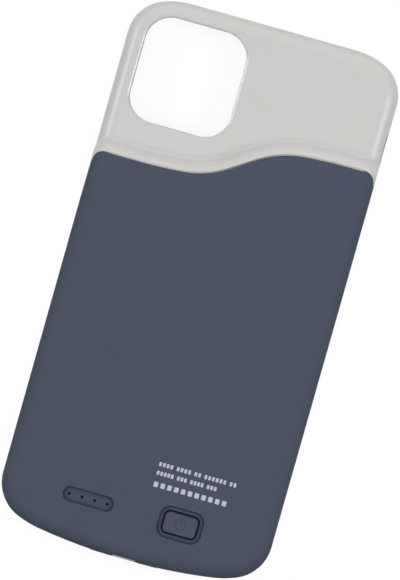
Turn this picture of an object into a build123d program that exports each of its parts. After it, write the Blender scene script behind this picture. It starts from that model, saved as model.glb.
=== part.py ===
"""Battery charging case for a 6.1 inch class phone, lying on its front rim with the back upwards.

Millimetres. +Z points out of the back, +Y to the camera end, +X to the right seen from the back.
The origin is in the middle of the front rim's plane.
"""
import os
from math import acos, cos, degrees, radians, sin, sqrt, tan

from build123d import *

os.makedirs("parts", exist_ok=True)

# Phone that the case is made for
phone_length = 150.9
phone_width = 75.7
phone_thickness = 8.3
phone_corner_radius = 11.8
phone_edge_bevel = 2.2
phone_fit = 0.1

# Soft frame
side_wall = 2.05
top_wall = 2.2
chin = 5.2
lip_thickness = 1.0
lip_overhang = 1.6
lip_bevel = 0.4
front_edge_bevel = 0.9
upper_back = 2.1
top_corner_radius = 11.5
top_corner_turn = 70.0
top_shoulder_radius = 24.0
shelf_width = 1.9
plan_margin = 6.0
upright_tolerance = 0.001

# Lower end of the outline: corner, shoulder and bow, one arc after the other
corner_radius = 12.0
corner_turn = 68.0
shoulder_radius = 30.0
bow_radius = 170.0

# Rounding round the whole back
back_edge_radius = 4.2

# Wave between the soft frame and the pack
wave_swing = 14.7
wave_centre = 2.5
wave_slope = 33.8
wave_bend_radius = 28.6
wave_easing_radius = 142.0
wave_easing_turn = 5.4
ramp_angle = 55.0
ramp_foot_radius = 1.6
ramp_top_radius = 3.5
ramp_roll = 0.8
ramp_floor = 5.0
ramp_floor_cut = 3.0
parting_gap = 0.14
parting_bevel = 0.3
parting_bevel_angle = 45.0
wave_corner_radius = 3.2
wave_corner_inset = 0.4
left_rise_height = 2.8
left_rise_run = 36.0
right_rise_height = 2.1
right_rise_run = 20.0
rise_wall = 1.6

# Camera window
window_width = 29.7
window_height = 30.7
window_corner_radius = 7.5
window_from_phone_side = 3.35
window_from_phone_top = 2.85
window_draft = 8.0
window_bevel = 0.14
window_bevel_angle = 68.0

# Covers over the side keys and the opening for the ring switch
key_cover_height = 3.4
side_key_length = 12.5
volume_key_length = 8.5
key_groove = 0.8
key_groove_depth = 0.5
key_relief_depth = 0.7
side_key_from_top = 42.4
volume_up_from_top = 38.8
volume_down_from_top = 50.8
switch_from_top = 25.5
switch_length = 9.0
switch_height = 5.0
switch_dish = 1.8
switch_dish_depth = 0.4

# Sound openings in the chin
sound_slot_length = 13.0
sound_slot_height = 3.0
sound_slot_spacing = 40.0

# Hard shell and plate
shell_wall = 1.2
shell_side = 3.3
shell_skirt = 1.7
room_corner_radius = 3.0
plate_thickness = 0.8
plate_inset = 1.7
plate_clearance = 0.1

# Screws between plate and shell
screw_diameter = 1.6
screw_head_diameter = 3.0
screw_head_angle = 90.0
screw_length = 3.4
boss_width = 3.6
boss_side_wall = 3.2
boss_from_wave = 9.9
boss_from_bottom = 19.25

# Lights and power button
control_row_from_bottom = 14.35
lights_x = -14.2
light_recess_length = 15.2
light_recess_width = 4.5
light_recess_depth = 0.65
light_hole_diameter = 0.9
light_pitch = 3.75
light_count = 4
button_x = 13.15
button_length = 9.8
button_width = 6.2
button_corner_radius = 1.4
button_gap = 0.42
button_dish_margin = 1.65
button_dish_depth = 0.55
recess_slope = 26.0
button_sink = 0.2
button_flange = 0.8
button_flange_thickness = 0.6
button_clearance = 0.1
button_edge_bevel = 0.3
button_stub = 0.1

# Circuit board and what it carries
board_length = 52.0
board_width = 15.4
board_thickness = 0.8
board_post = 3.0
led_length = 1.6
led_width = 0.8
led_height = 0.6
guide_thickness = 0.6
guide_clearance = 0.06
guide_margin = 0.5
switch_body = 4.6
switch_body_corner_radius = 0.4
switch_body_height = 0.9
plunger_diameter = 2.0
plunger_clearance = 0.1
plunger_height = 0.4
plunger_depth = 0.25
button_travel = 0.3
inductor_size = 6.0
inductor_height = 1.7
inductor_corner_radius = 0.8
inductor_x = -1.0
inductor_offset = 3.5
chip_size = 4.0
chip_height = 0.8
chip_x = -12.0
chip_offset = 4.8
capacitor_length = 1.6
capacitor_width = 0.8
capacitor_count = 5
capacitor_pitch = 1.6
capacitor_offset = 5.5

# Charging inlet
port_width = 8.94
port_height = 3.26
port_length = 7.35
port_wall = 0.3
port_setback = 1.9
port_clearance = 0.15
port_tongue_width = 6.7
port_tongue_thickness = 0.7
port_tongue_length = 5.2
port_tab = 1.2
port_tab_thickness = 0.25
chin_pad_width = 20.0
chin_pad_bottom = 2.0

# Plug which enters the phone
plug_width = 6.7
plug_thickness = 1.5
plug_corner_radius = 0.6
plug_tip_bevel = 0.35
plug_length = 6.6
plug_root = 2.2
plug_base_width = 20.0
plug_base_depth = 3.05
plug_base_drop = 3.0
plug_base_clearance = 0.1
contact_count = 8
contact_pitch = 0.7
contact_width = 0.4
contact_length = 3.0
contact_thickness = 0.05
contact_tip = 1.2
flex_width = 3.8
flex_thickness = 0.3
flex_x = 7.5
flex_setback = 1.05
flex_reach = 3.0
flex_bend_radius = 0.8
flex_clearance = 0.25

# Battery cell
cell_width = 66.0
cell_length = 80.5
cell_thickness = 3.6
cell_edge_bevel = 0.6
cell_board_gap = 4.5
cell_end_gap = 2.4
cell_side_clearance = 0.2
cell_top_gap = 0.15
film_thickness = 0.1
film_margin = 1.0
tape_thickness = 0.15
tape_width = 16.0
protection_length = 34.0
protection_width = 3.0
protection_thickness = 1.0
lead_diameter = 1.0
lead_spacing = 6.0
lead_x = 12.0
lead_overlap = 5.0

# Worked out from the above
cavity_width = phone_width + 2 * phone_fit
cavity_length = phone_length + 2 * phone_fit
pack_width = cell_width + 2 * (cell_side_clearance + boss_width + boss_side_wall)
case_width = max(cavity_width + 2 * side_wall, pack_width)
case_length = cavity_length + top_wall + chin
half_width = case_width / 2
top_y = case_length / 2
bottom_y = -case_length / 2
cavity_y = top_y - top_wall - cavity_length / 2
cavity_bottom_y = cavity_y - cavity_length / 2
seat_z = lip_thickness + phone_thickness + phone_fit
phone_mid_z = (lip_thickness + seat_z) / 2
panel_z = seat_z + upper_back
plate_top = seat_z + plate_thickness
cell_z = plate_top + film_thickness + tape_thickness
room_top = cell_z + cell_thickness + cell_top_gap
back_z = room_top + shell_wall
pack_rise = back_z - panel_z
flange_top = room_top - button_clearance
flange_bottom = flange_top - button_flange_thickness
plunger_top = flange_bottom - button_stub
board_top = plunger_top - plunger_height - switch_body_height
board_bottom = board_top - board_thickness
control_y = bottom_y + control_row_from_bottom
cell_bottom_y = control_y + board_width / 2 + cell_board_gap
cell_y = cell_bottom_y + cell_length / 2
wave_low = cell_bottom_y + cell_length + cell_end_gap + shell_skirt
reach = half_width + plan_margin
ramp_fall = ramp_top_radius - sqrt(ramp_top_radius**2 - ramp_roll**2)
parting_z = back_z - ramp_fall - parting_bevel


def wave_end(side):
    """Place along the case where the wave meets a side."""
    return wave_low + wave_swing * (1 + side) / 2


def wave(shift=0.0):
    """The wave as a chain of tangent lines and arcs, moved along the case by shift."""
    slope = radians(wave_slope)
    easing = radians(wave_easing_turn)
    bend_turn = wave_slope - wave_easing_turn
    arcs_rise = wave_bend_radius * (cos(easing) - cos(slope)) + wave_easing_radius * (1 - cos(easing))
    arcs_run = wave_bend_radius * (sin(slope) - sin(easing)) + wave_easing_radius * sin(easing)
    straight = (wave_swing - 2 * arcs_rise) / sin(slope)
    foot_x = wave_centre - arcs_run - straight / 2 * cos(slope)
    with BuildLine() as chain:
        low = Line((-reach, wave_end(-1) + shift), (foot_x, wave_end(-1) + shift))
        low_easing = JernArc(low @ 1, low % 1, wave_easing_radius, wave_easing_turn)
        low_bend = JernArc(low_easing @ 1, low_easing % 1, wave_bend_radius, bend_turn)
        climb = Line(low_bend @ 1, (low_bend @ 1) + (low_bend % 1) * straight)
        high_bend = JernArc(climb @ 1, climb % 1, wave_bend_radius, -bend_turn)
        high_easing = JernArc(high_bend @ 1, high_bend % 1, wave_easing_radius, -wave_easing_turn)
        Line(high_easing @ 1, (reach, wave_end(1) + shift))
    return chain.line


def case_outline(inset=0.0):
    """Plan of the case: compound corners and a bowed lower end."""
    turn = radians(corner_turn)
    left_over = half_width - corner_radius * (1 - cos(turn)) - shoulder_radius * cos(turn)
    bow_start = acos(left_over / (bow_radius - shoulder_radius))
    corner_rise = (
        corner_radius * sin(turn)
        + shoulder_radius * (sin(bow_start) - sin(turn))
        + bow_radius * (1 - sin(bow_start))
    )
    top_turn = radians(top_corner_turn)
    upper_run = top_corner_radius * (1 - cos(top_turn)) + top_shoulder_radius * cos(top_turn)
    with BuildSketch() as plan:
        with BuildLine():
            upper = Line((0, top_y), (upper_run - half_width, top_y))
            top_easing = JernArc(upper @ 1, (-1, 0), top_shoulder_radius, 90 - top_corner_turn)
            upper_corner = JernArc(top_easing @ 1, top_easing % 1, top_corner_radius, top_corner_turn)
            side = Line(upper_corner @ 1, (-half_width, bottom_y + corner_rise))
            corner = JernArc(side @ 1, (0, -1), corner_radius, corner_turn)
            shoulder = JernArc(corner @ 1, corner % 1, shoulder_radius, degrees(bow_start) - corner_turn)
            JernArc(shoulder @ 1, shoulder % 1, bow_radius, 90 - degrees(bow_start))
            mirror(about=Plane.YZ)
        make_face()
        if inset:
            offset(amount=-inset)
    return plan.sketch


def pack_plan(shift=0.0):
    """Everything below the wave, wider than the case."""
    edge = wave(shift)
    with BuildSketch() as plan:
        with BuildLine():
            add(edge)
            Polyline(edge @ 1, (reach, -case_length), (-reach, -case_length), edge @ 0)
        make_face()
    return plan.sketch


def upper_corners(plan):
    """The two corners of a plan where the wave meets its sides."""
    columns = plan.vertices().group_by(Axis.X)
    return [column.sort_by(Axis.Y)[-1] for column in (columns[0], columns[-1])]


def outer_form():
    """Whole outside of the case: upper back, S-shaped ramp, pack and rounded back edges."""
    angle = radians(ramp_angle)
    arcs_height = (ramp_foot_radius + ramp_top_radius) * (1 - cos(angle))
    straight = (pack_rise - arcs_height) / sin(angle)
    section_plane = Plane((-reach, wave_end(-1), 0), x_dir=(0, 1, 0), z_dir=(1, 0, 0))
    with BuildPart() as form:
        with BuildSketch():
            add(case_outline())
        extrude(amount=back_z)
        # Ramp swept along the wave, then the flat upper back
        with BuildSketch(section_plane):
            with BuildLine():
                crest = JernArc((-ramp_roll, back_z), (1, 0), ramp_top_radius, -ramp_angle)
                slant = Line(crest @ 1, (crest @ 1) + (crest % 1) * straight)
                foot = JernArc(slant @ 1, slant % 1, ramp_foot_radius, ramp_angle)
                floor = Line(foot @ 1, (foot @ 1) + Vector(ramp_floor, 0))
                Polyline(floor @ 1, ((floor @ 1).X, 2 * back_z), (-ramp_roll, 2 * back_z), crest @ 0)
            make_face()
        sweep(path=wave(), mode=Mode.SUBTRACT)
        floor_edge = wave((foot @ 1).X + ramp_floor_cut)
        with BuildSketch(Plane.XY.offset(panel_z)):
            with BuildLine():
                add(floor_edge)
                Polyline(floor_edge @ 1, (reach, case_length), (-reach, case_length), floor_edge @ 0)
            make_face()
        extrude(amount=back_z, mode=Mode.SUBTRACT)
        # One rounding runs round the whole back
        walls = form.faces().filter_by(lambda face: abs(face.normal_at().Z) < upright_tolerance)
        back_edges = walls.edges().filter_by(lambda edge: edge.center().Z > panel_z - parting_gap)
        fillet(back_edges, back_edge_radius)
    return form.part


def phone_space():
    """Room for the phone, with its edges taken off."""
    with BuildPart() as space:
        with BuildSketch(Plane.XY.offset(lip_thickness)):
            with Locations((0, cavity_y)):
                RectangleRounded(cavity_width, cavity_length, phone_corner_radius + phone_fit)
        extrude(amount=seat_z - lip_thickness)
        chamfer(space.faces().filter_by(Axis.Z).edges(), phone_edge_bevel)
    return space.part


def side_rise(side, height, run, gap=0.0):
    """Soft wall which climbs beside the pack to the end of the wave."""
    end_y = wave_end(side)
    corner_z = plate_top + height
    with BuildPart() as rise:
        with BuildSketch(Plane.YZ.offset(side * (half_width - rise_wall - gap))):
            with BuildLine():
                Polyline(
                    (end_y, 2 * back_z),
                    (end_y, corner_z),
                    (end_y - run, plate_top),
                    (end_y + reach, plate_top),
                    (end_y + reach, 2 * back_z),
                    close=True,
                )
            make_face()
            if gap:
                offset(amount=gap)
        extrude(amount=side * reach)
    return rise.part


def pack_top_plan(gap=0.0):
    """Plan of the hard pack with rounded upper corners, wider than the case below them."""
    with BuildSketch() as plan:
        add(pack_plan(-gap))
        Rectangle(2 * (half_width - wave_corner_inset - gap), 2 * case_length, mode=Mode.INTERSECT)
        fillet(upper_corners(plan), wave_corner_radius)
        for side in (-1, 1):
            with Locations((side * half_width, wave_end(side) - wave_corner_radius - gap)):
                Rectangle(2 * wave_corner_radius, case_length, align=(Align.CENTER, Align.MAX))
    return plan.sketch


def pack_zone(gap=0.0):
    """Space that the hard pack takes out of the soft frame."""
    with BuildPart() as zone:
        with BuildSketch(Plane.XY.offset(plate_top)):
            add(pack_top_plan(gap))
        extrude(amount=back_z - plate_top + parting_gap)
        add(side_rise(-1, left_rise_height, left_rise_run, gap), mode=Mode.SUBTRACT)
        add(side_rise(1, right_rise_height, right_rise_run, gap), mode=Mode.SUBTRACT)
    return zone.part


def pack_room():
    """Room inside the hard pack."""
    with BuildPart() as room:
        with BuildSketch(Plane.XY.offset(plate_top)) as floor:
            add(case_outline(shell_side))
            add(pack_plan(-shell_skirt), mode=Mode.INTERSECT)
            fillet(upper_corners(floor), room_corner_radius)
        extrude(amount=room_top - plate_top)
    return room.part


form = outer_form()
boss_x = half_width - boss_side_wall - boss_width / 2
boss_rows = (wave_low - boss_from_wave, bottom_y + boss_from_bottom)
boss_places = [(side * boss_x, y) for side in (-1, 1) for y in boss_rows]
post_x = board_length / 2 - board_post
post_y = board_width / 2 - board_post
post_places = [(x, control_y + y) for x in (-post_x, post_x) for y in (-post_y, post_y)]
end_plane = Plane.XZ.offset(case_length / 2)
plug_base_bottom = phone_mid_z - plug_base_drop
plug_base_back = cavity_bottom_y - plug_base_depth
port_z = plate_top + port_height / 2 + plate_clearance
port_mouth_y = bottom_y + port_setback
port_back_y = port_mouth_y + port_length
flex_y = cavity_bottom_y - flex_setback

# Soft frame, one moulding
key_covers = (
    (-1, side_key_from_top, side_key_length),
    (1, volume_up_from_top, volume_key_length),
    (1, volume_down_from_top, volume_key_length),
)
with BuildPart() as bumper_frame:
    add(form)
    chamfer(bumper_frame.edges().group_by(Axis.Z)[0], front_edge_bevel)
    add(phone_space(), mode=Mode.SUBTRACT)
    add(pack_zone(), mode=Mode.SUBTRACT)
    # Bevel on the edge that meets the hard shell
    with BuildSketch(Plane.XY.offset(parting_z)):
        add(pack_top_plan())
    extrude(amount=back_z - parting_z, taper=-parting_bevel_angle, mode=Mode.SUBTRACT)
    # Seat of the hard plate, and the opening that it covers
    with BuildSketch(Plane.XY.offset(seat_z)):
        add(case_outline(plate_inset - plate_clearance))
        add(pack_plan(), mode=Mode.INTERSECT)
    extrude(amount=plate_thickness, mode=Mode.SUBTRACT)
    with BuildSketch(Plane.XY.offset(phone_mid_z)):
        with Locations((0, cavity_y)):
            RectangleRounded(
                cavity_width - 2 * shelf_width,
                cavity_length - 2 * shelf_width,
                phone_corner_radius - shelf_width,
            )
        add(pack_plan(), mode=Mode.INTERSECT)
    extrude(amount=seat_z - phone_mid_z, mode=Mode.SUBTRACT)
    # Mouth inside the front lip
    with BuildSketch():
        with Locations((0, cavity_y)):
            RectangleRounded(
                cavity_width - 2 * lip_overhang,
                cavity_length - 2 * lip_overhang,
                phone_corner_radius - lip_overhang,
            )
    extrude(amount=phone_mid_z, mode=Mode.SUBTRACT)
    front_face = bumper_frame.faces().sort_by(Axis.Z)[0]
    chamfer(front_face.inner_wires().edges(), lip_bevel)
    # Camera window with a drafted wall and a bevelled edge
    window_x = window_from_phone_side + (window_width - phone_width) / 2
    window_y = cavity_y + (phone_length - window_height) / 2 - window_from_phone_top
    bevel_flare = 2 * (upper_back - window_bevel) * tan(radians(window_draft))
    with BuildSketch(Plane.XY.offset(seat_z)):
        with Locations((window_x, window_y)):
            RectangleRounded(window_width, window_height, window_corner_radius)
    extrude(amount=2 * upper_back, taper=-window_draft, mode=Mode.SUBTRACT)
    with BuildSketch(Plane.XY.offset(panel_z - window_bevel)):
        with Locations((window_x, window_y)):
            RectangleRounded(
                window_width + bevel_flare,
                window_height + bevel_flare,
                window_corner_radius + bevel_flare / 2,
            )
    extrude(amount=upper_back, taper=-window_bevel_angle, mode=Mode.SUBTRACT)
    # Covers over the side keys: a groove outside and a relief inside
    for key_side, key_from_top, key_length in key_covers:
        with BuildSketch(Plane.YZ.offset(key_side * half_width)):
            with Locations((top_y - key_from_top, phone_mid_z)):
                SlotOverall(key_length + 2 * key_groove, key_cover_height + 2 * key_groove)
                SlotOverall(key_length, key_cover_height, mode=Mode.SUBTRACT)
        extrude(amount=-key_side * key_groove_depth, mode=Mode.SUBTRACT)
        with BuildSketch(Plane.YZ.offset(key_side * (cavity_width / 2 - phone_edge_bevel))):
            with Locations((top_y - key_from_top, phone_mid_z)):
                Rectangle(key_length, key_cover_height)
        extrude(amount=key_side * (phone_edge_bevel + key_relief_depth), mode=Mode.SUBTRACT)
    # Opening for the ring switch in a shallow dish
    with BuildSketch(Plane.YZ.offset(half_width)):
        with Locations((top_y - switch_from_top, phone_mid_z)):
            SlotOverall(switch_length + 2 * switch_dish, switch_height + 2 * switch_dish)
    extrude(amount=-switch_dish_depth, mode=Mode.SUBTRACT)
    with BuildSketch(Plane.YZ.offset(half_width)):
        with Locations((top_y - switch_from_top, phone_mid_z)):
            SlotOverall(switch_length, switch_height)
    extrude(amount=cavity_width / 2 - phone_edge_bevel - half_width, mode=Mode.SUBTRACT)
    # Chin: flat pad under the inlet, sound openings, and the pocket of the plug's base
    with BuildSketch(end_plane):
        with Locations((0, chin_pad_bottom)):
            Rectangle(chin_pad_width, plate_top - chin_pad_bottom, align=(Align.CENTER, Align.MIN))
    extrude(amount=-plate_inset)
    with BuildSketch(end_plane):
        with Locations((-sound_slot_spacing / 2, phone_mid_z), (sound_slot_spacing / 2, phone_mid_z)):
            SlotOverall(sound_slot_length, sound_slot_height)
    extrude(amount=-(chin + phone_edge_bevel), mode=Mode.SUBTRACT)
    with BuildSketch(Plane.XY.offset(plug_base_bottom - plug_base_clearance)):
        with Locations((0, plug_base_back - plug_base_clearance)):
            Rectangle(
                plug_base_width + 2 * plug_base_clearance,
                plug_base_depth + plug_base_clearance + phone_edge_bevel,
                align=(Align.CENTER, Align.MIN),
            )
    extrude(amount=seat_z - plug_base_bottom + plug_base_clearance, mode=Mode.SUBTRACT)

# Hard shell of the pack
with BuildPart() as back_shell:
    add(form)
    add(pack_zone(parting_gap), mode=Mode.INTERSECT)
    add(pack_room(), mode=Mode.SUBTRACT)
    # Screw bosses and posts over the circuit board
    with BuildSketch(Plane.XY.offset(plate_top)):
        with Locations(*boss_places):
            Rectangle(boss_width, boss_width)
    extrude(amount=room_top - plate_top)
    with BuildSketch(Plane.XY.offset(plate_top)):
        with Locations(*boss_places):
            Circle(screw_diameter / 2 + parting_gap)
    extrude(amount=screw_length, mode=Mode.SUBTRACT)
    with BuildSketch(Plane.XY.offset(board_top)):
        with Locations(*post_places):
            Rectangle(board_post, board_post)
    extrude(amount=room_top - board_top)
    # Recess of the lights, with a hole for each
    with BuildSketch(Plane.XY.offset(back_z)):
        with Locations((lights_x, control_y)):
            SlotOverall(light_recess_length, light_recess_width)
    extrude(amount=-light_recess_depth, taper=recess_slope, mode=Mode.SUBTRACT)
    with BuildSketch(Plane.XY.offset(back_z)):
        with Locations((lights_x, control_y)):
            with GridLocations(light_pitch, 0, light_count, 1):
                Circle(light_hole_diameter / 2)
    extrude(amount=-2 * shell_wall, mode=Mode.SUBTRACT)
    # Dish and hole of the power button
    with BuildSketch(Plane.XY.offset(back_z)):
        with Locations((button_x, control_y)):
            RectangleRounded(
                button_length + 2 * button_dish_margin,
                button_width + 2 * button_dish_margin,
                button_corner_radius + button_dish_margin,
            )
    extrude(amount=-button_dish_depth, taper=recess_slope, mode=Mode.SUBTRACT)
    with BuildSketch(Plane.XY.offset(back_z)):
        with Locations((button_x, control_y)):
            RectangleRounded(
                button_length + 2 * button_gap,
                button_width + 2 * button_gap,
                button_corner_radius + button_gap,
            )
    extrude(amount=-2 * shell_wall, mode=Mode.SUBTRACT)
    # Opening of the charging inlet
    with BuildSketch(end_plane):
        with Locations((0, port_z)):
            SlotOverall(port_width + 2 * port_clearance, port_height + 2 * port_clearance)
    extrude(amount=-(port_setback + port_length), mode=Mode.SUBTRACT)

# Hard plate between phone and pack
with BuildPart() as inner_plate:
    with BuildSketch(Plane.XY.offset(seat_z)):
        add(case_outline(plate_inset))
        add(pack_plan(-plate_clearance), mode=Mode.INTERSECT)
        with Locations((flex_x, flex_y)):
            Rectangle(
                flex_width + 2 * flex_clearance,
                flex_thickness + 2 * flex_clearance,
                mode=Mode.SUBTRACT,
            )
    extrude(amount=plate_thickness)
    with Locations(*[Location((x, y, seat_z), (180, 0, 0)) for x, y in boss_places]):
        CounterSinkHole(
            screw_diameter / 2 + parting_gap,
            screw_head_diameter / 2 + parting_gap,
            counter_sink_angle=screw_head_angle,
        )
    with BuildSketch(Plane.XY.offset(plate_top)):
        with Locations(*post_places):
            Rectangle(board_post, board_post)
    extrude(amount=board_bottom - plate_top)


def plate_screw():
    """Countersunk screw, head down."""
    head_height = (screw_head_diameter - screw_diameter) / 2 / tan(radians(screw_head_angle / 2))
    with BuildPart() as screw:
        with BuildSketch(Plane.XZ):
            with BuildLine():
                Polyline(
                    (0, 0),
                    (screw_head_diameter / 2, 0),
                    (screw_diameter / 2, head_height),
                    (screw_diameter / 2, screw_length),
                    (0, screw_length),
                    close=True,
                )
            make_face()
        revolve(axis=Axis.Z)
    return screw.part


with BuildPart() as plate_screws:
    with Locations(*[(x, y, seat_z) for x, y in boss_places]):
        add(plate_screw())

# Circuit board
with BuildPart() as main_board:
    with BuildSketch(Plane.XY.offset(board_bottom)):
        with Locations((0, control_y)):
            Rectangle(board_length, board_width)
        with Locations((0, port_back_y + port_clearance)):
            Rectangle(
                port_width + 2 * port_clearance,
                port_length,
                align=(Align.CENTER, Align.MAX),
                mode=Mode.SUBTRACT,
            )
    extrude(amount=board_thickness)

with BuildPart() as status_leds:
    with BuildSketch(Plane.XY.offset(board_top)):
        with Locations((lights_x, control_y)):
            with GridLocations(light_pitch, 0, light_count, 1):
                Rectangle(led_length, led_width)
    extrude(amount=led_height)

# Clear strip behind the light holes, with a foot over each light
with BuildPart() as led_light_guide:
    with BuildSketch(Plane.XY.offset(room_top - guide_thickness)):
        with Locations((lights_x, control_y)):
            Rectangle(light_recess_length - 2 * guide_margin, light_recess_width - 2 * guide_margin)
    extrude(amount=guide_thickness)
    with BuildSketch(Plane.XY.offset(board_top + led_height + guide_clearance)):
        with Locations((lights_x, control_y)):
            with GridLocations(light_pitch, 0, light_count, 1):
                Rectangle(led_length, led_length)
    extrude(amount=room_top - guide_thickness - board_top - led_height - guide_clearance)

# Power button with its flange under the shell, and the switch under it
with BuildPart() as power_button:
    with BuildSketch(Plane.XY.offset(flange_bottom)):
        with Locations((button_x, control_y)):
            RectangleRounded(
                button_length + 2 * button_flange,
                button_width + 2 * button_flange,
                button_corner_radius + button_flange,
            )
    extrude(amount=button_flange_thickness)
    with BuildSketch(Plane.XY.offset(flange_top)):
        with Locations((button_x, control_y)):
            RectangleRounded(button_length, button_width, button_corner_radius)
    extrude(amount=back_z - button_sink - flange_top)
    chamfer(power_button.faces().sort_by(Axis.Z)[-1].edges(), button_edge_bevel)
    with BuildSketch(Plane.XY.offset(plunger_top)):
        with Locations((button_x, control_y)):
            Circle(plunger_diameter / 2)
    extrude(amount=flange_bottom - plunger_top)

with BuildPart() as tact_switch:
    with BuildSketch(Plane.XY.offset(board_top)):
        with Locations((button_x, control_y)):
            RectangleRounded(switch_body, switch_body, switch_body_corner_radius)
    extrude(amount=switch_body_height)
    with BuildSketch(Plane.XY.offset(board_top + switch_body_height)):
        with Locations((button_x, control_y)):
            Circle(plunger_diameter / 2 + plunger_clearance)
    extrude(amount=-(plunger_depth + button_travel + plunger_clearance), mode=Mode.SUBTRACT)

with BuildPart() as switch_plunger:
    with BuildSketch(Plane.XY.offset(plunger_top)):
        with Locations((button_x, control_y)):
            Circle(plunger_diameter / 2)
    extrude(amount=-(plunger_height + plunger_depth))

# Power electronics
with BuildPart() as boost_inductor:
    with BuildSketch(Plane.XY.offset(board_top)):
        with Locations((inductor_x, control_y + inductor_offset)):
            RectangleRounded(inductor_size, inductor_size, inductor_corner_radius)
    extrude(amount=inductor_height)

with BuildPart() as power_chip:
    with BuildSketch(Plane.XY.offset(board_top)):
        with Locations((chip_x, control_y + chip_offset)):
            Rectangle(chip_size, chip_size)
    extrude(amount=chip_height)

with BuildPart() as chip_capacitors:
    with BuildSketch(Plane.XY.offset(board_top)):
        with Locations((button_x, control_y - capacitor_offset)):
            with GridLocations(capacitor_pitch, 0, capacitor_count, 1):
                Rectangle(capacitor_width, capacitor_length)
    extrude(amount=capacitor_width)

# Charging inlet: metal shell with soldering tabs, and its tongue
with BuildPart() as charging_port_shell:
    with BuildSketch(Plane.XZ.offset(-port_mouth_y)):
        with Locations((0, port_z)):
            SlotOverall(port_width, port_height)
    extrude(amount=-port_length)
    with BuildSketch(Plane.XZ.offset(-port_mouth_y)):
        with Locations((0, port_z)):
            SlotOverall(port_width - 2 * port_wall, port_height - 2 * port_wall)
    extrude(amount=-(port_length - port_wall), mode=Mode.SUBTRACT)
    with BuildSketch(Plane.XY.offset(board_top)):
        with Locations((0, port_back_y - port_tab)):
            with GridLocations(port_width - 2 * port_wall + port_tab, 0, 2, 1):
                Rectangle(port_tab, port_tab)
    extrude(amount=port_tab_thickness)

with BuildPart() as charging_port_tongue:
    with BuildSketch(Plane.XZ.offset(port_wall - port_back_y)):
        with Locations((0, port_z)):
            Rectangle(port_tongue_width, port_tongue_thickness)
    extrude(amount=port_tongue_length)

# Plug, its contacts and its base in the chin
with BuildPart() as dock_plug:
    with BuildSketch(Plane.XZ.offset(plug_root - cavity_bottom_y)):
        with Locations((0, phone_mid_z)):
            RectangleRounded(plug_width, plug_thickness, plug_corner_radius)
    extrude(amount=-(plug_root + plug_length))
    chamfer(dock_plug.faces().sort_by(Axis.Y)[-1].edges(), plug_tip_bevel)

with BuildPart() as dock_contacts:
    contact_y = cavity_bottom_y + plug_length - contact_tip - contact_length / 2
    for face_side in (-1, 1):
        with BuildSketch(Plane.XY.offset(phone_mid_z + face_side * plug_thickness / 2)):
            with Locations((0, contact_y)):
                with GridLocations(contact_pitch, 0, contact_count, 1):
                    Rectangle(contact_width, contact_length)
        extrude(amount=face_side * contact_thickness)

with BuildPart() as dock_plug_base:
    with BuildSketch(Plane.XY.offset(plug_base_bottom)):
        with Locations((0, plug_base_back)):
            Rectangle(plug_base_width, plug_base_depth, align=(Align.CENTER, Align.MIN))
    extrude(amount=seat_z - plug_base_bottom)
    with BuildSketch(Plane.XZ.offset(-cavity_bottom_y)):
        with Locations((0, phone_mid_z)):
            RectangleRounded(plug_width, plug_thickness, plug_corner_radius)
    extrude(amount=plug_root, mode=Mode.SUBTRACT)

with BuildPart() as dock_flex:
    flex_z = board_bottom - flex_thickness / 2
    with BuildLine(Plane.YZ.offset(flex_x)) as flex_path:
        FilletPolyline(
            (flex_y, seat_z),
            (flex_y, flex_z),
            (control_y - board_width / 2 + flex_reach, flex_z),
            radius=flex_bend_radius,
        )
    with BuildSketch(Plane.XY.offset(seat_z)):
        with Locations((flex_x, flex_y)):
            Rectangle(flex_width, flex_thickness)
    sweep(path=flex_path.line)

# Battery cell on film and tape, with its protection board and leads
with BuildPart() as insulating_film:
    with BuildSketch(Plane.XY.offset(plate_top)):
        with Locations((0, cell_y)):
            Rectangle(cell_width - 2 * film_margin, cell_length - 2 * film_margin)
    extrude(amount=film_thickness)

with BuildPart() as battery_tape:
    with BuildSketch(Plane.XY.offset(plate_top + film_thickness)):
        with Locations((0, cell_y)):
            with GridLocations(cell_width / 2, 0, 2, 1):
                Rectangle(tape_width, cell_length - 4 * film_margin)
    extrude(amount=tape_thickness)

with BuildPart() as battery_cell:
    with BuildSketch(Plane.XY.offset(cell_z)):
        with Locations((0, cell_y)):
            Rectangle(cell_width, cell_length)
    extrude(amount=cell_thickness)
    chamfer(battery_cell.faces().filter_by(Axis.Z).edges(), cell_edge_bevel)

protection_z = board_top + lead_diameter / 2
with BuildPart() as cell_protection_board:
    with BuildSketch(Plane.XY.offset(protection_z - protection_thickness / 2)):
        with Locations((0, cell_bottom_y)):
            Rectangle(protection_length, protection_width, align=(Align.CENTER, Align.MAX))
    extrude(amount=protection_thickness)


def battery_lead(x):
    """Short lead from the protection board down on to the circuit board."""
    start_y = cell_bottom_y - protection_width
    with BuildPart() as lead:
        with BuildSketch(Plane.XZ.offset(-start_y)):
            with Locations((x, protection_z)):
                Circle(lead_diameter / 2)
        extrude(amount=lead_overlap)
    return lead.part


with BuildPart() as battery_lead_red:
    add(battery_lead(lead_x + lead_spacing / 2))

with BuildPart() as battery_lead_black:
    add(battery_lead(lead_x - lead_spacing / 2))

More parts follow.
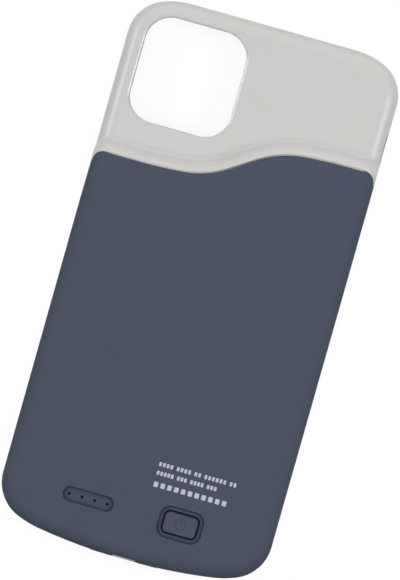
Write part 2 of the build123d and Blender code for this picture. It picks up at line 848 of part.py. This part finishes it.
pieces = {
    "bumper_frame": bumper_frame,
    "back_shell": back_shell,
    "inner_plate": inner_plate,
    "plate_screws": plate_screws,
    "power_button": power_button,
    "switch_plunger": switch_plunger,
    "tact_switch": tact_switch,
    "led_light_guide": led_light_guide,
    "status_leds": status_leds,
    "main_board": main_board,
    "boost_inductor": boost_inductor,
    "power_chip": power_chip,
    "chip_capacitors": chip_capacitors,
    "charging_port_shell": charging_port_shell,
    "charging_port_tongue": charging_port_tongue,
    "dock_plug": dock_plug,
    "dock_contacts": dock_contacts,
    "dock_plug_base": dock_plug_base,
    "dock_flex": dock_flex,
    "insulating_film": insulating_film,
    "battery_tape": battery_tape,
    "battery_cell": battery_cell,
    "cell_protection_board": cell_protection_board,
    "battery_lead_red": battery_lead_red,
    "battery_lead_black": battery_lead_black,
}
for name, piece in pieces.items():
    piece.part.label = name
    export_step(piece.part, f"parts/{name}.step")
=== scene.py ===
"""Looks of a battery charging case: finishes, print, power sign, studio and camera.

Metres, in the frame of the solids: +Z out of the back, +Y to the camera end,
+X to the right seen from the back.
"""
from math import cos, pi, radians, sin

import bmesh
import bpy
from mathutils import Matrix, Vector


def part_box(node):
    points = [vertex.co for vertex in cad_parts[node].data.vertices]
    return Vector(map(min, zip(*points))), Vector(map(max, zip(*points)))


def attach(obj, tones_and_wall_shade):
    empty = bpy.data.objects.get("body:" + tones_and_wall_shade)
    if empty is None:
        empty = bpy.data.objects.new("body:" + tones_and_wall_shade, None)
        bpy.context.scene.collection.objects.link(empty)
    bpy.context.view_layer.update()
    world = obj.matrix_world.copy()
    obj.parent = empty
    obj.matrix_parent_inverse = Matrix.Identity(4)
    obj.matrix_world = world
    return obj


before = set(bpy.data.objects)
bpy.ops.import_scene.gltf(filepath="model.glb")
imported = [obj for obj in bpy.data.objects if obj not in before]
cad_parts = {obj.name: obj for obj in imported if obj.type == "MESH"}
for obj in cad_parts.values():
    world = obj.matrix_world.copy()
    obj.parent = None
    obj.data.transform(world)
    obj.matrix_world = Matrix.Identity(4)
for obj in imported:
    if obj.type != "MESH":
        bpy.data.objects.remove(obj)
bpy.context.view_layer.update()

MM = 0.001
WHITE = (1.0, 1.0, 1.0, 1.0)

# Picture: its height in pixels, and how many pixels a millimetre of the case takes
IMAGE_HEIGHT = 580
PIXELS_PER_MM = 3.485

# Camera: distance in metres, tilts and roll in degrees, point looked at, sensor in millimetres
CAMERA_DISTANCE = 1.1
CAMERA_TOWARDS_BOTTOM = -2.0
CAMERA_TOWARDS_LEFT = -1.6
CAMERA_ROLL = 15.78
CAMERA_AIM = Vector((0.12 * MM, 1.03 * MM, 8 * MM))
SENSOR = 36.0

# Floor, in metres: half its side, its two tones and their patches, and its glow to the camera
FLOOR_HALF = 3.0
FLOOR_TONES = ((124, 124, 123), (121, 121, 121))
FLOOR_PATCH = 0.2
FLOOR_ROUGHNESS = 0.9
FLOOR_GLOW = 0.86

# World: the level that lights the case, and the level that is seen
WORLD_LIGHT = 0.28
WORLD_SHOWN = 1.0

# Soft boxes: name, place and size in metres, power in watts, and if glossy surfaces mirror it
SOFT_BOXES = (
    ("left_box", (-0.86, 0.08, 0.54), (0.4, 0.3), 1.8, True),
    ("left_strip", (-0.725, 0.075, 0.71), (0.3, 0.12), 1.3, True),
    ("right_box", (0.84, 0.08, 0.56), (0.4, 0.3), 2.0, True),
    ("right_strip", (0.616, 0.075, 0.77), (0.3, 0.12), 1.5, True),
    ("top_box", (0.0, 1.0, 0.12), (1.8, 0.22), 4.3, False),
    ("over_box", (0.0, 0.0, 1.3), (1.0, 1.0), 4.5, False),
)

# Camera window, in millimetres: its middle, then the size, corner and width of its polished bevel,
# and how softly the bevel's finish meets the others
WINDOW_MIDDLE = (-19.65, 58.75)
BEVEL_SIZE = (30.94, 31.94)
BEVEL_CORNER = 8.12
BEVEL_WIDTH = 0.35
BEVEL_BLEND = 0.02
BEVEL_ROUGHNESS = 0.19

# Satin grey of the frame: lengths in millimetres, the grain by its size and height. A hollow has
# its full painted shade where this share of the sky is left open to it
GREY_TONES = ((203, 202, 200), (202, 201, 198))
# The hollow colour is painted shade: the frame turns to it in hollows, where shade falls
GREY_PAINTED_HOLLOW_SHADE = (175, 174, 172)
# The wall colour is painted shade on the window's inner wall, where shade falls
GREY_PAINTED_WALL_SHADE = (150, 149, 147)
GREY_PATCH = 12.0
GREY_ROUGHNESS = (0.32, 0.35)
GREY_GLOSS_PATCH = 4.0
GREY_GRAIN = (0.25, 0.0005)
GREY_PAINTED_SHADE_REACH = 2.5
GREY_PAINTED_SHADE_FULL = 0.75

# Soft coat of the pack: the same values, and how strongly it mirrors
NAVY_TONES = ((79, 85, 101), (77, 83, 99))
# The hollow colour is painted shade: the coat turns to it in hollows and gaps between parts, where
# shade falls
NAVY_PAINTED_HOLLOW_SHADE = (20, 24, 38)
NAVY_PATCH = 14.0
NAVY_SPECULAR = 0.02
NAVY_ROUGHNESS = (0.52, 0.60)
NAVY_GLOSS_PATCH = 3.0
NAVY_GRAIN = (0.18, 0.004)
NAVY_PAINTED_SHADE_REACH = 2.0
NAVY_PAINTED_SHADE_FULL = 0.5

# Specks of dust on the coat: spacing in millimetres, size as a share of the spacing, how few
# of the places have one, and how much each covers
DUST_COLOUR = (150, 154, 162)
DUST_SPACING = 9.0
DUST_SIZE = (0.010, 0.016)
DUST_CHOSEN = (0.62, 0.66)
DUST_COVER = 0.6

# Other plastics and metals: patches and grain in millimetres, and the spread of the roughness.
# The patches of a plastic's gloss are a share of those of its tones
PLASTIC_PATCH = 9.0
PLASTIC_GLOSS_SHARE = 0.25
PLASTIC_GRAIN = (0.25, 0.004)
PLASTIC_SPREAD = 0.04
METAL_PATCH = 2.0
METAL_GLOSS_PATCH = 0.6
METAL_GRAIN = (0.12, 0.001)
METAL_SPREAD = 0.06

# Noise: its usual range, its detail in tones, gloss and grain, and rays for the painted shade in
# hollows
NOISE_RANGE = (0.3, 0.7)
TONE_DETAIL = 3.0
GLOSS_DETAIL = 4.0
GRAIN_DETAIL = 1.0
PAINTED_SHADE_RAYS = 8

# Mix node: place of the first of its two inputs, and of its result
MIX_SOCKETS = {"RGBA": (6, 2), "FLOAT": (2, 0)}

# Print on the shell: rows of plain blocks, in millimetres from the power button's centre
# Each row: place along the case, block width, height and pitch, how many blocks stand together
PRINT_LEFT = -10.5
PRINT_ROWS = (
    (15.25, 0.75, 1.25, 1.12, (4, 4, 2, 6, 2)),
    (12.7, 0.75, 1.25, 1.05, (5, 3, 4, 3)),
    (9.35, 1.3, 1.5, 2.02, (11,)),
)
PRINT_GAP = 0.75
PRINT_CORNER = 0.25
PRINT_CORNER_STEPS = 4
PRINT_THICKNESS = 0.02

# Power sign on the button, in millimetres, with half its opening in degrees
SIGN_RADIUS = 1.75
SIGN_LINE = 0.5
SIGN_OPENING = 36.0
SIGN_BAR = 1.9
SIGN_STEPS = 40
SIGN_THICKNESS = 0.02


def linear(red, green, blue):
    """Screen colour, 0 to 255 a channel, as the shader's linear colour by the sRGB curve."""
    shares = [value / 255 for value in (red, green, blue)]
    return (*[s / 12.92 if s <= 0.04045 else ((s + 0.055) / 1.055) ** 2.4 for s in shares], 1.0)


def combined(tree, operation, first, second):
    """Two values joined by a math node."""
    node = tree.nodes.new("ShaderNodeMath")
    node.operation = operation
    tree.links.new(first, node.inputs[0])
    tree.links.new(second, node.inputs[1])
    return node.outputs["Value"]


def seen_directly(tree):
    """1 for rays of the camera, of gloss and of glass, else 0."""
    path = tree.nodes.new("ShaderNodeLightPath")
    total = path.outputs["Is Camera Ray"]
    for name in ("Is Glossy Ray", "Is Transmission Ray"):
        total = combined(tree, "MAXIMUM", total, path.outputs[name])
    return total


class Finish:
    """One node material, built up from noise fields in the object's own space."""

    def __init__(self, name, **shader_values):
        self.material = bpy.data.materials.new(name)
        self.material.use_nodes = True
        self.tree = self.material.node_tree
        self.shader = self.tree.nodes["Principled BSDF"]
        self.place = self.tree.nodes.new("ShaderNodeTexCoord").outputs["Object"]
        for socket, value in shader_values.items():
            self.shader.inputs[socket.replace("_", " ")].default_value = value

    def add(self, kind, **values):
        """A node with its input values set by name."""
        node = self.tree.nodes.new(kind)
        for socket, value in values.items():
            node.inputs[socket.replace("_", " ")].default_value = value
        return node

    def join(self, output, socket):
        self.tree.links.new(output, socket)

    def noise(self, size, detail):
        """Soft noise with patches of about the given size in metres."""
        node = self.add("ShaderNodeTexNoise", Scale=1 / size, Detail=detail)
        self.join(self.place, node.inputs["Vector"])
        return node.outputs["Fac"]

    def ranged(self, value, low, high, source=NOISE_RANGE):
        """A value carried from its source range to another range, and held at the ends."""
        start, end = source
        node = self.add("ShaderNodeMapRange", From_Min=start, From_Max=end, To_Min=low, To_Max=high)
        self.join(value, node.inputs["Value"])
        return node.outputs["Result"]

    def mixed(self, factor, first, second, kind="RGBA"):
        """Colour or plain value between two others, which are values or sockets."""
        place, result = MIX_SOCKETS[kind]
        node = self.tree.nodes.new("ShaderNodeMix")
        node.data_type = kind
        self.join(factor, node.inputs["Factor"])
        for socket, given in ((node.inputs[place], first), (node.inputs[place + 1], second)):
            if isinstance(given, bpy.types.NodeSocket):
                self.join(given, socket)
            else:
                socket.default_value = given
        return node.outputs[result]

    def tones(self, colours, patch):
        """Two close tones in soft patches."""
        first, second = colours
        share = self.ranged(self.noise(patch, TONE_DETAIL), 0.0, 1.0)
        return self.mixed(share, linear(*first), linear(*second))

    def painted_hollow_shade(self, colour, shade, reach, full, own=False):
        """A colour that turns to a painted shade where surfaces close in within a reach in metres.

        The painted shade is full at the given open share, and own looks at the one solid alone.
        """
        node = self.add("ShaderNodeAmbientOcclusion", Distance=reach)
        node.samples = PAINTED_SHADE_RAYS
        node.only_local = own
        painted_shade_share = self.ranged(node.outputs["AO"], 1.0, 0.0, (full, 1.0))
        return self.mixed(painted_shade_share, colour, linear(*shade))

    def paint(self, colour):
        self.join(colour, self.shader.inputs["Base Color"])

    def uneven(self, low, high, patch):
        """Roughness that wanders between two values."""
        return self.ranged(self.noise(patch, GLOSS_DETAIL), low, high)

    def gloss(self, roughness):
        self.join(roughness, self.shader.inputs["Roughness"])

    def grain(self, size, height):
        """Fine moulded grain, its size and height in millimetres."""
        bump = self.add("ShaderNodeBump", Strength=1.0, Distance=height * MM)
        self.join(self.noise(size * MM, GRAIN_DETAIL), bump.inputs["Height"])
        self.join(bump.outputs["Normal"], self.shader.inputs["Normal"])


def plastic(name, first, second, roughness, patch=PLASTIC_PATCH, **shader_values):
    """Moulded plastic: two tones, uneven gloss and a fine grain."""
    finish = Finish(name, **shader_values)
    finish.paint(finish.tones((first, second), patch * MM))
    low, high = roughness - PLASTIC_SPREAD, roughness + PLASTIC_SPREAD
    finish.gloss(finish.uneven(low, high, patch * PLASTIC_GLOSS_SHARE * MM))
    finish.grain(*PLASTIC_GRAIN)
    return finish.material


def metal(name, first, second, roughness):
    """Plated or bare metal with fine uneven gloss."""
    finish = Finish(name, Metallic=1.0)
    finish.paint(finish.tones((first, second), METAL_PATCH * MM))
    low, high = roughness - METAL_SPREAD, roughness + METAL_SPREAD
    finish.gloss(finish.uneven(low, high, METAL_GLOSS_PATCH * MM))
    finish.grain(*METAL_GRAIN)
    return finish.material


def window_reach(finish):
    """How far a point lies from the block in the window that the corners' centres span."""
    block = [(size / 2 - BEVEL_CORNER) * MM for size in BEVEL_SIZE]
    offset = finish.place
    steps = (
        ("SUBTRACT", (WINDOW_MIDDLE[0] * MM, WINDOW_MIDDLE[1] * MM, 0.0)),
        ("ABSOLUTE", (0.0, 0.0, 0.0)),
        ("SUBTRACT", (block[0], block[1], 1.0)),
        ("MAXIMUM", (0.0, 0.0, 0.0)),
        ("LENGTH", (0.0, 0.0, 0.0)),
    )
    for operation, second in steps:
        node = finish.tree.nodes.new("ShaderNodeVectorMath")
        node.operation = operation
        node.inputs[1].default_value = second
        finish.join(offset, node.inputs[0])
        offset = node.outputs["Value" if operation == "LENGTH" else "Vector"]
    return offset


def satin_grey(name):
    """Smooth satin plastic with painted shade in hollows and on the window's wall, polished on its
    bevel.
    """
    finish = Finish(name)
    reach = window_reach(finish)
    outer_edge = BEVEL_CORNER
    inner_edge = BEVEL_CORNER - BEVEL_WIDTH
    # Painted shade on the window's inner wall
    in_painted_wall_shade = finish.ranged(reach, 1.0, 0.0, ((inner_edge - BEVEL_BLEND) * MM, inner_edge * MM))
    off_bevel = finish.ranged(reach, 0.0, 1.0, ((outer_edge - BEVEL_BLEND) * MM, outer_edge * MM))
    tones_and_wall_shade = finish.mixed(in_painted_wall_shade, finish.tones(GREY_TONES, GREY_PATCH * MM), linear(*GREY_PAINTED_WALL_SHADE))
    # Painted shade in hollows
    with_painted_shade = finish.painted_hollow_shade(tones_and_wall_shade, GREY_PAINTED_HOLLOW_SHADE, GREY_PAINTED_SHADE_REACH * MM, GREY_PAINTED_SHADE_FULL, own=True)
    finish.paint(with_painted_shade)
    satin = finish.uneven(*GREY_ROUGHNESS, GREY_GLOSS_PATCH * MM)
    finish.gloss(finish.mixed(off_bevel, BEVEL_ROUGHNESS, satin, "FLOAT"))
    finish.grain(*GREY_GRAIN)
    return finish.material


def soft_navy(name):
    """Matt coated plastic with painted shade in hollows and between parts, and a few pale specks of
    dust.
    """
    finish = Finish(name, Specular_IOR_Level=NAVY_SPECULAR)
    coat = finish.tones(NAVY_TONES, NAVY_PATCH * MM)
    cells = finish.add("ShaderNodeTexVoronoi", Scale=1 / (DUST_SPACING * MM))
    finish.join(finish.place, cells.inputs["Vector"])
    near = finish.ranged(cells.outputs["Distance"], 1.0, 0.0, DUST_SIZE)
    chosen = finish.ranged(cells.outputs["Color"], 0.0, DUST_COVER, DUST_CHOSEN)
    speck = combined(finish.tree, "MULTIPLY", near, chosen)
    dusty = finish.mixed(speck, coat, linear(*DUST_COLOUR))
    # Painted shade in hollows and gaps between parts
    finish.paint(finish.painted_hollow_shade(dusty, NAVY_PAINTED_HOLLOW_SHADE, NAVY_PAINTED_SHADE_REACH * MM, NAVY_PAINTED_SHADE_FULL))
    finish.gloss(finish.uneven(*NAVY_ROUGHNESS, NAVY_GLOSS_PATCH * MM))
    finish.grain(*NAVY_GRAIN)
    return finish.material


def floor_paper(name):
    """Plain paper which glows to the camera, so that it is white where no shadow falls."""
    finish = Finish(name, Roughness=FLOOR_ROUGHNESS, Specular_IOR_Level=0.0)
    finish.paint(finish.tones(FLOOR_TONES, FLOOR_PATCH))
    glow = finish.add("ShaderNodeEmission", Color=WHITE)
    level = finish.ranged(seen_directly(finish.tree), 0.0, FLOOR_GLOW, (0.0, 1.0))
    finish.join(level, glow.inputs["Strength"])
    both = finish.tree.nodes.new("ShaderNodeAddShader")
    finish.join(finish.shader.outputs["BSDF"], both.inputs[0])
    finish.join(glow.outputs["Emission"], both.inputs[1])
    finish.join(both.outputs["Shader"], finish.tree.nodes["Material Output"].inputs["Surface"])
    return finish.material


def dress(material, *names):
    """The finish on every material slot of the named solids."""
    for name in names:
        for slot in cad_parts[name].material_slots:
            slot.material = material


def mesh_object(name, mesh_builder, material):
    """An object in the scene from a filled bmesh, which is freed."""
    mesh = bpy.data.meshes.new(name)
    mesh_builder.to_mesh(mesh)
    mesh_builder.free()
    mesh.materials.append(material)
    made = bpy.data.objects.new(name, mesh)
    bpy.context.scene.collection.objects.link(made)
    return made


def raise_outline(mesh_builder, points, bottom, top):
    """A flat plate between two heights, with an outline that runs anticlockwise from above."""
    lower = [mesh_builder.verts.new((x, y, bottom)) for x, y in points]
    upper = [mesh_builder.verts.new((x, y, top)) for x, y in points]
    mesh_builder.faces.new(lower[::-1])
    mesh_builder.faces.new(upper)
    for end in range(len(points)):
        start = end - 1
        mesh_builder.faces.new((lower[start], lower[end], upper[end], upper[start]))


def block_outline(left, centre_y, width, height, radius):
    """Outline of a block with rounded corners."""
    points = []
    for corner in range(4):
        side_x = 1 if corner in (0, 3) else -1
        side_y = 1 if corner < 2 else -1
        centre_x = left + width / 2 + side_x * (width / 2 - radius)
        centre = Vector((centre_x, centre_y + side_y * (height / 2 - radius)))
        for step in range(PRINT_CORNER_STEPS + 1):
            turn = pi / 2 * (corner + step / PRINT_CORNER_STEPS)
            points.append(centre + radius * Vector((cos(turn), sin(turn))))
    return points


def print_rows(material):
    """Three rows of pale blocks printed above the power button."""
    low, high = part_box("power_button")
    origin = (low + high) / 2
    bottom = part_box("back_shell")[1].z
    top = bottom + PRINT_THICKNESS * MM
    corner = PRINT_CORNER * MM
    built = bmesh.new()
    for row_y, width, height, pitch, groups in PRINT_ROWS:
        left = PRINT_LEFT
        y = origin.y + row_y * MM
        for count in groups:
            for _ in range(count):
                x = origin.x + left * MM
                outline = block_outline(x, y, width * MM, height * MM, corner)
                raise_outline(built, outline, bottom, top)
                left += pitch
            left += PRINT_GAP
    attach(mesh_object("print_rows", built, material), "case")


def power_sign(material):
    """Open ring with a bar, printed on the button's cap."""
    low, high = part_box("power_button")
    middle = (low + high) / 2
    bottom = high.z
    top = bottom + SIGN_THICKNESS * MM
    built = bmesh.new()
    outer, inner = SIGN_RADIUS * MM, (SIGN_RADIUS - SIGN_LINE) * MM
    first = radians(90 + SIGN_OPENING)
    sweep = radians(360 - 2 * SIGN_OPENING)
    turns = [first + sweep * step / SIGN_STEPS for step in range(SIGN_STEPS + 1)]
    ring = [(middle.x + outer * cos(t), middle.y + outer * sin(t)) for t in turns]
    ring += [(middle.x + inner * cos(t), middle.y + inner * sin(t)) for t in reversed(turns)]
    raise_outline(built, ring, bottom, top)
    half = SIGN_LINE * MM / 2
    left, right = middle.x - half, middle.x + half
    bar_top = middle.y + SIGN_RADIUS * MM + half
    bar_end = bar_top - SIGN_BAR * MM
    bar = [(left, bar_end), (right, bar_end), (right, bar_top), (left, bar_top)]
    raise_outline(built, bar, bottom, top)
    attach(mesh_object("power_sign", built, material), "button")


def dress_outside():
    """Finishes of the solids that the closed case shows, and its two prints."""
    dress(satin_grey("soft_grey"), "bumper_frame")
    dress(soft_navy("navy_coat"), "back_shell")
    dress(soft_navy("navy_cap"), "power_button")
    guide = plastic("smoked_guide", (9, 9, 11), (12, 12, 14), 0.5, Specular_IOR_Level=0.1)
    dress(guide, "led_light_guide")
    dress(plastic("charcoal_plate", (52, 54, 58), (46, 48, 52), 0.5), "inner_plate")
    dress(plastic("tongue_black", (20, 20, 21), (27, 27, 28), 0.35), "charging_port_tongue")
    steel = metal("steel", (190, 191, 194), (176, 177, 180), 0.28)
    dress(steel, "charging_port_shell", "dock_plug", "plate_screws")
    dress(metal("gold", (222, 184, 108), (206, 168, 96), 0.25), "dock_contacts")
    print_rows(plastic("print_ink", (192, 196, 203), (184, 188, 196), 0.6, patch=1.0))
    sign = plastic("sign_ink", (58, 65, 82), (55, 62, 79), 0.6, patch=1.0, Specular_IOR_Level=0.3)
    power_sign(sign)


def dress_inside():
    """Finishes of the solids in the pack and in the chin."""
    black = plastic("black_plastic", (28, 28, 30), (36, 36, 38), 0.4)
    dress(black, "dock_plug_base", "power_chip", "tact_switch")
    dress(plastic("white_cap", (214, 212, 206), (205, 203, 196), 0.4), "switch_plunger")
    dress(plastic("led_resin", (226, 224, 208), (236, 234, 222), 0.3), "status_leds")
    dress(plastic("board_green", (24, 74, 46), (18, 62, 40), 0.38, patch=3.0), "main_board")
    small_board = plastic("small_board_green", (20, 66, 48), (15, 56, 42), 0.38, patch=2.0)
    dress(small_board, "cell_protection_board")
    dress(plastic("ferrite", (58, 56, 55), (48, 46, 46), 0.55, patch=1.0), "boost_inductor")
    dress(plastic("ceramic", (146, 118, 88), (134, 108, 80), 0.45, patch=0.6), "chip_capacitors")
    dress(plastic("flex_amber", (150, 88, 34), (136, 78, 30), 0.35, patch=3.0), "dock_flex")
    dress(plastic("film_blue", (168, 186, 200), (156, 176, 192), 0.3), "insulating_film")
    dress(plastic("tape_white", (220, 218, 212), (210, 208, 200), 0.6), "battery_tape")
    dress(plastic("lead_red", (176, 30, 28), (160, 26, 24), 0.45, patch=2.0), "battery_lead_red")
    dress(plastic("lead_black", (26, 26, 27), (34, 34, 35), 0.45, patch=2.0), "battery_lead_black")
    dress(metal("pouch_foil", (196, 198, 202), (184, 186, 190), 0.34), "battery_cell")


def floor():
    """Pale floor under the case."""
    built = bmesh.new()
    corners = [(-1, -1), (1, -1), (1, 1), (-1, 1)]
    built.faces.new([built.verts.new((x * FLOOR_HALF, y * FLOOR_HALF, 0)) for x, y in corners])
    mesh_object("floor", built, floor_paper("floor_paper"))


def surroundings():
    """Pale world: one level lights the case, another is seen."""
    world = bpy.data.worlds.new("studio")
    bpy.context.scene.world = world
    world.use_nodes = True
    tree = world.node_tree
    background = tree.nodes["Background"]
    background.inputs["Color"].default_value = WHITE
    level = tree.nodes.new("ShaderNodeMapRange")
    level.inputs["To Min"].default_value = WORLD_LIGHT
    level.inputs["To Max"].default_value = WORLD_SHOWN
    tree.links.new(seen_directly(tree), level.inputs["Value"])
    tree.links.new(level.outputs["Result"], background.inputs["Strength"])


def soft_box(name, place, size, power, mirrored):
    """Area lamp at a place, turned to the middle of the case."""
    data = bpy.data.lights.new(name, "AREA")
    data.shape = "RECTANGLE"
    data.size, data.size_y = size
    data.energy = power
    made = bpy.data.objects.new(name, data)
    made.location = place
    made.visible_glossy = mirrored
    made.rotation_euler = (CAMERA_AIM - Vector(place)).to_track_quat("-Z", "Y").to_euler()
    bpy.context.scene.collection.objects.link(made)


def camera():
    """Camera over the back, tilted and rolled as in the picture."""
    data = bpy.data.cameras.new("camera")
    data.type = "PERSP"
    data.sensor_width = SENSOR
    data.lens = SENSOR * CAMERA_DISTANCE / (IMAGE_HEIGHT / PIXELS_PER_MM * MM)
    made = bpy.data.objects.new("camera", data)
    back_x, back_y = -sin(radians(CAMERA_TOWARDS_LEFT)), -sin(radians(CAMERA_TOWARDS_BOTTOM))
    back = Vector((back_x, back_y, 1.0)).normalized()
    along = Vector((0, 1, 0))
    level_up = (along - back * along.dot(back)).normalized()
    level_right = level_up.cross(back)
    roll = radians(CAMERA_ROLL)
    right = level_right * cos(roll) + level_up * sin(roll)
    up = level_up * cos(roll) - level_right * sin(roll)
    turn = Matrix((right, up, back)).transposed().to_4x4()
    made.matrix_world = Matrix.Translation(CAMERA_AIM + back * CAMERA_DISTANCE) @ turn
    bpy.context.scene.collection.objects.link(made)
    bpy.context.scene.camera = made


dress_outside()
dress_inside()
floor()
surroundings()
for box in SOFT_BOXES:
    soft_box(*box)
camera()
bpy.context.scene.view_settings.view_transform = "Standard"
